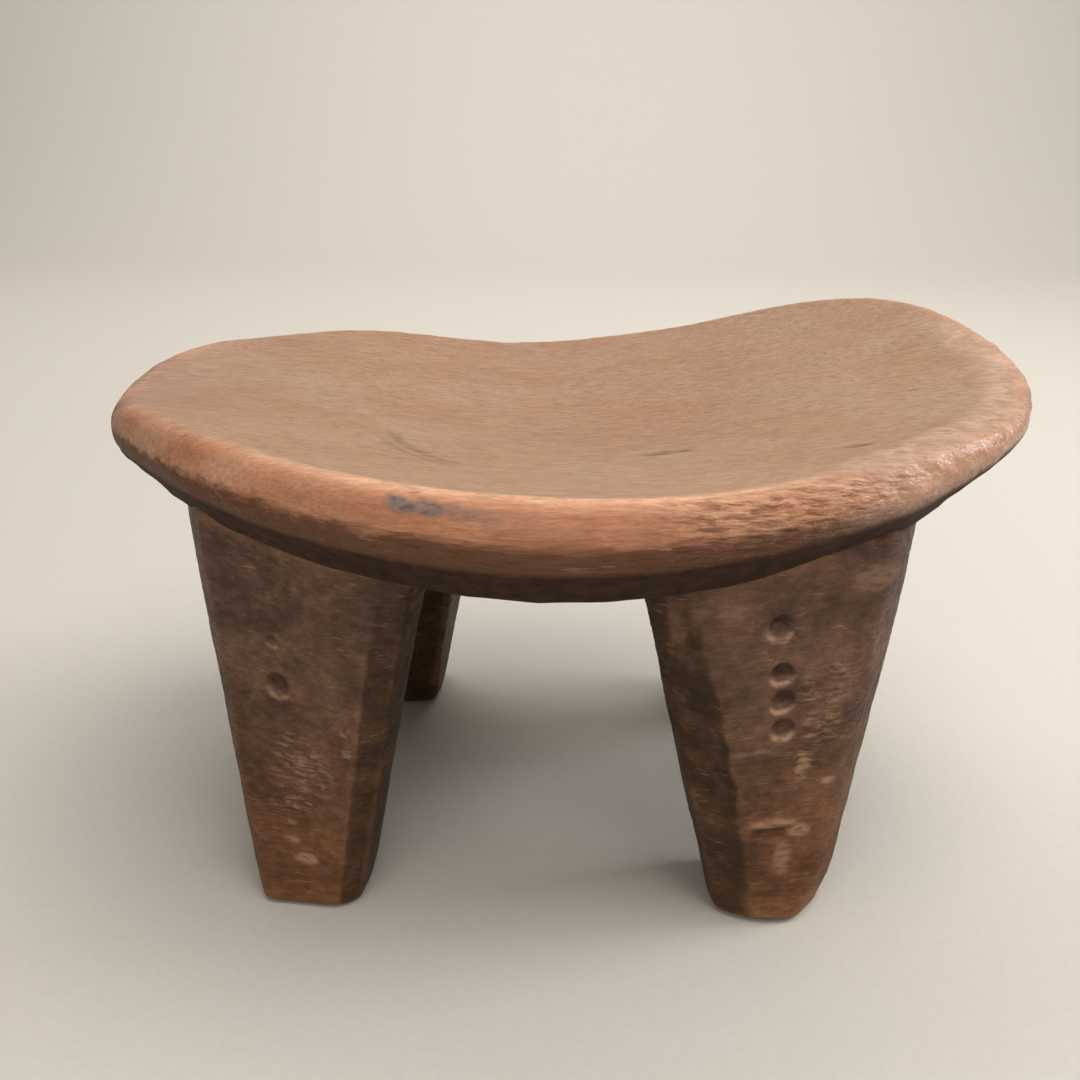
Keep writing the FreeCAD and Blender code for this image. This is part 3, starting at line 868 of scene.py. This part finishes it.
def leg_wood():
    """Adzed brown hardwood: grey-brown above, warmer towards the foot, with pale chips, scratches and painted
    glints.
    """
    s = Shader("leg_wood")
    wood = leg_patterns(s)
    colour = knocked(s, wood, leg_colour(s, wood))

    rough = s.step(wood.streaks, 0.3, 0.7, 0.66, 0.5)
    normal = s.bump(wood.fibres, 0.06)
    normal = s.bump(wood.streaks, 0.12, normal)
    normal = s.bump(wood.mottle, 0.45, normal)
    normal = s.bump(s.math("MULTIPLY", wood.flaky, s.mask("torn")), 1.6, normal)
    return s.close(colour, rough, normal, Specular_IOR_Level=0.22)


def pale_floor_paint():
    """A plain pale floor with a barely visible grain."""
    s = Shader("floor_paint")
    place = s.put("TexCoord", {}).outputs["Object"]
    speckle = s.pattern(place, (3, 3, 3), 2)
    colour = s.mix(s.step(speckle, 0.3, 0.7), (0.58, 0.545, 0.49), (0.60, 0.565, 0.51))
    return s.close(colour, s.step(speckle, 0.3, 0.7, 0.85, 0.95), s.bump(speckle, 0.05))


# ---------------------------------------------------------------- stage


def make_floor():
    """A wide plain floor that turns up into a plain backdrop far behind."""
    profile = [(FLOOR_FRONT, 0.0), (FLOOR_BACK, 0.0)]
    for step in range(1, BACKDROP_STEPS + 1):
        angle = step / BACKDROP_STEPS * math.pi / 2
        y = FLOOR_BACK + BACKDROP_TURN * math.sin(angle)
        profile.append((y, BACKDROP_TURN - BACKDROP_TURN * math.cos(angle)))
    profile.append((FLOOR_BACK + BACKDROP_TURN, BACKDROP_TOP))
    vertices = [(side * FLOOR_HALF_WIDTH, y, z) for y, z in profile for side in (-1, 1)]
    faces = [(2 * i, 2 * i + 1, 2 * i + 3, 2 * i + 2) for i in range(len(profile) - 1)]
    mesh = bpy.data.meshes.new("floor")
    mesh.from_pydata(vertices, [], faces)
    mesh.polygons.foreach_set("use_smooth", [True] * len(mesh.polygons))
    mesh.materials.append(pale_floor_paint())
    floor = bpy.data.objects.new("floor", mesh)
    bpy.context.scene.collection.objects.link(floor)


def add_area(name, place, size, power, colour, target=(0.0, 0.0, 0.12)):
    """A soft square light, in metres and watts, that faces a target or else the middle of the object."""
    data = bpy.data.lights.new(name, "AREA")
    data.size = size
    data.energy = power
    data.color = colour
    lamp = bpy.data.objects.new(name, data)
    lamp.location = place
    lamp.rotation_euler = (Vector(target) - Vector(place)).to_track_quat("-Z", "Y").to_euler()
    bpy.context.scene.collection.objects.link(lamp)


def make_light():
    """Soft light from above and in front, a window to the right, a lit backdrop and a faint fill."""
    add_area("overhead", (0.35, -0.30, 1.25), 1.0, 12, (1.0, 0.97, 0.93))
    add_area("front", (-0.3, -1.3, 0.75), 0.9, 4.2, (1.0, 0.98, 0.96))
    add_area("window", (1.3, 0.20, 0.90), 0.5, 8, (0.97, 0.98, 1.0))
    add_area("backdrop", (0.0, 1.1, 2.2), 2.0, 50, (1.0, 0.98, 0.95), (0.0, 2.4, 0.9))
    world = bpy.data.worlds.new("studio")
    world.use_nodes = True
    world.node_tree.nodes["Background"].inputs["Color"].default_value = (0.74, 0.70, 0.64, 1)
    world.node_tree.nodes["Background"].inputs["Strength"].default_value = 0.3
    bpy.context.scene.world = world
    bpy.context.scene.view_settings.view_transform = "Standard"


def make_camera():
    """The camera, looking down at the front of the object from close by."""
    data = bpy.data.cameras.new("camera")
    data.lens = CAMERA_LENS
    data.sensor_width = SENSOR_WIDTH
    data.clip_start = 0.01
    camera = bpy.data.objects.new("camera", data)
    camera.location = CAMERA_PLACE
    camera.rotation_euler = (math.radians(90 - CAMERA_PITCH), 0, math.radians(CAMERA_YAW))
    bpy.context.scene.collection.objects.link(camera)
    bpy.context.scene.camera = camera


make_camera()
make_light()
make_floor()
make_seat(seat_wood())
legs = leg_wood()
for leg in ("leg_front_left", "leg_front_right"):
    make_leg(leg, FRONT_LEG_VOXEL, legs)
for leg in ("leg_rear_left", "leg_rear_right"):
    make_leg(leg, REAR_LEG_VOXEL, legs)
